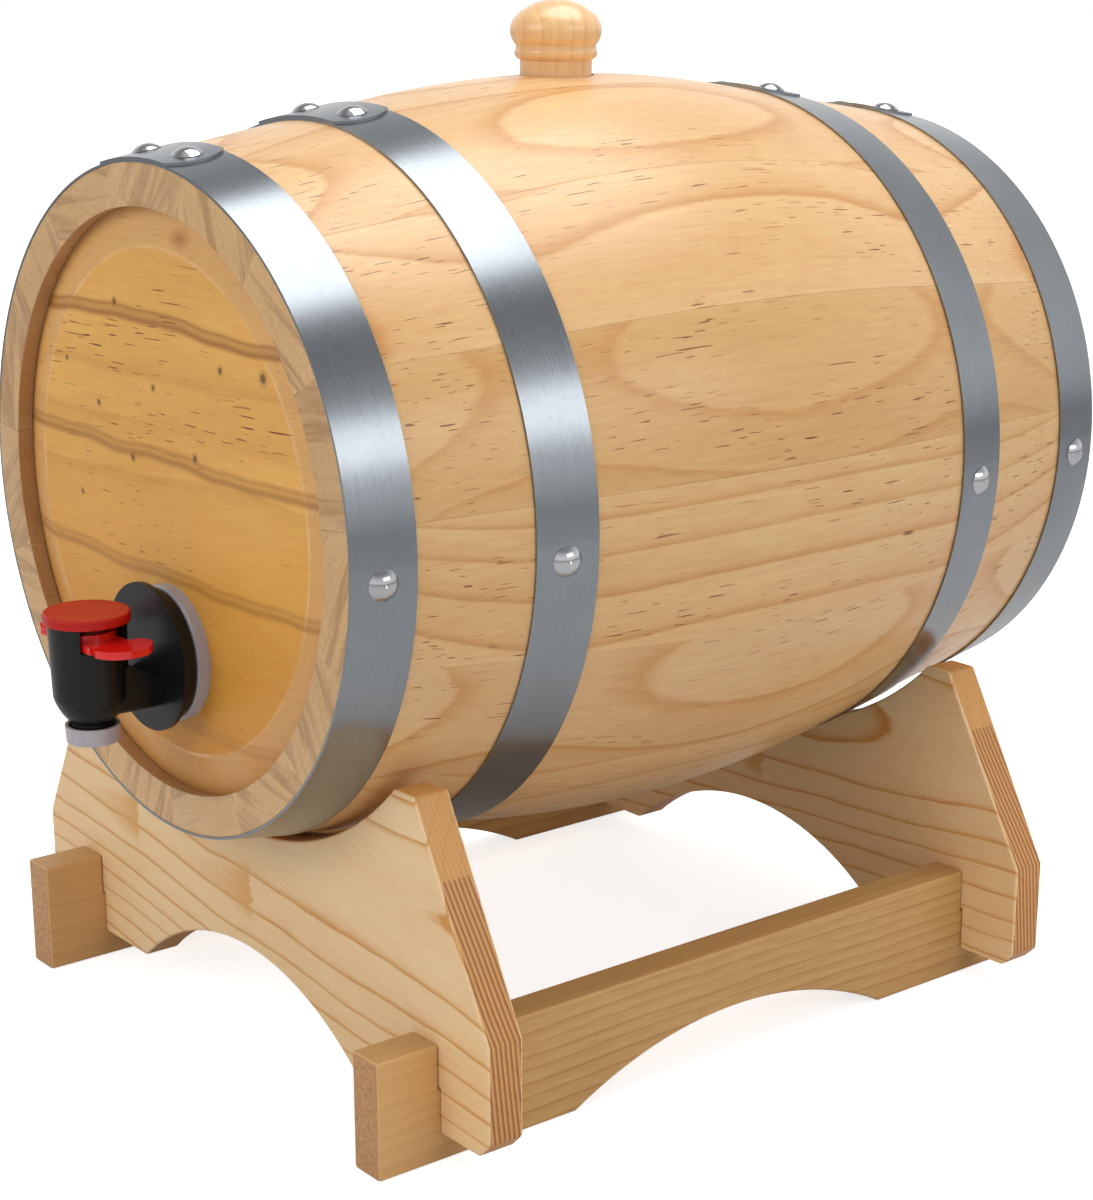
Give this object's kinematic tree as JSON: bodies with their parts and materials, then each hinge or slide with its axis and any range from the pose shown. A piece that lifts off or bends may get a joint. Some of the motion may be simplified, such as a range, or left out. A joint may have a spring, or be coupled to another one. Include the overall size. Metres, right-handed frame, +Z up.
{
  "type": "cask liquor dispenser",
  "caption": "Small coopered cask on a cross-lapped wooden cradle, with a turned bung on top and a squeeze tap low in its front head for serving drinks.",
  "frame": {"origin": "on the floor under the middle of the object's length and width", "axes": "+X right seen from the tap, -Y towards the tap, +Z up"},
  "size_m": [0.266, 0.3538, 0.3348],
  "materials": {
    "stave_wood": "lacquered pine",
    "head_wood": "lacquered pine",
    "bung_wood": "turned and lacquered",
    "stand_wood": "sanded pine",
    "hoop_steel": "galvanised, satin",
    "fastener_steel": "bright zinc",
    "clear_plastic": "translucent",
    "liner_film": "metallised film",
    "tap_black": "moulded, satin",
    "tap_red": "moulded, satin",
    "lever_red": "moulded, glossy",
    "seal_rubber": "matte",
    "valve_rubber": "satin elastomer"
  },
  "bodies": {
    "stand": {"front_cradle": "stand_wood", "rear_cradle": "stand_wood", "left_rail": "stand_wood", "right_rail": "stand_wood"},
    "cask": {"bung_stave": "stave_wood", "stave_02": "stave_wood", "stave_03": "stave_wood", "stave_04": "stave_wood", "stave_05": "stave_wood", "stave_06": "stave_wood", "stave_07": "stave_wood", "stave_08": "stave_wood", "stave_09": "stave_wood", "stave_10": "stave_wood", "stave_11": "stave_wood", "stave_12": "stave_wood", "stave_13": "stave_wood", "stave_14": "stave_wood", "stave_15": "stave_wood", "front_head_low": "head_wood", "front_head_middle": "head_wood", "front_head_high": "head_wood", "rear_head_low": "head_wood", "rear_head_middle": "head_wood", "rear_head_high": "head_wood", "front_head_hoop": "hoop_steel", "front_quarter_hoop": "hoop_steel", "rear_quarter_hoop": "hoop_steel", "rear_head_hoop": "hoop_steel", "hoop_rivets": "fastener_steel", "hoop_nails": "fastener_steel", "filler_neck": "clear_plastic", "liner_bag": "liner_film", "liner_gland": "clear_plastic", "gland_collar": "clear_plastic"},
    "bung": {"bung": "bung_wood", "bung_seal": "seal_rubber"},
    "tap": {"tap_body": "tap_black", "tap_lid": "tap_red", "return_dome": "valve_rubber"},
    "lever": {"tap_lever": "lever_red", "valve_plug": "valve_rubber"},
    "cap": {"spout_cap": "clear_plastic"}
  },
  "joints": [
    {"name": "cask_lift", "type": "slide", "parent": "stand", "child": "cask", "axis": [0, 0, 1], "range_m": [0, 0.06]},
    {"name": "bung_pull", "type": "slide", "parent": "cask", "child": "bung", "axis": [0, 0, 1], "range_m": [0, 0.05]},
    {"name": "tap_turn", "type": "hinge", "parent": "cask", "child": "tap", "pos_m": [0, -0.13355, 0.1402], "axis": [0, 1, 0], "range_deg": [-90, 90]},
    {"name": "lever_squeeze", "type": "slide", "parent": "tap", "child": "lever", "axis": [0, 0, 1], "range_m": [0, 0.004], "stiffness_N_per_m": 1200, "springref_m": -0.0025, "deforming": ["return_dome"]},
    {"name": "cap_pull", "type": "slide", "parent": "tap", "child": "cap", "axis": [0, 0, -1], "range_m": [0, 0.03]}
  ]
}
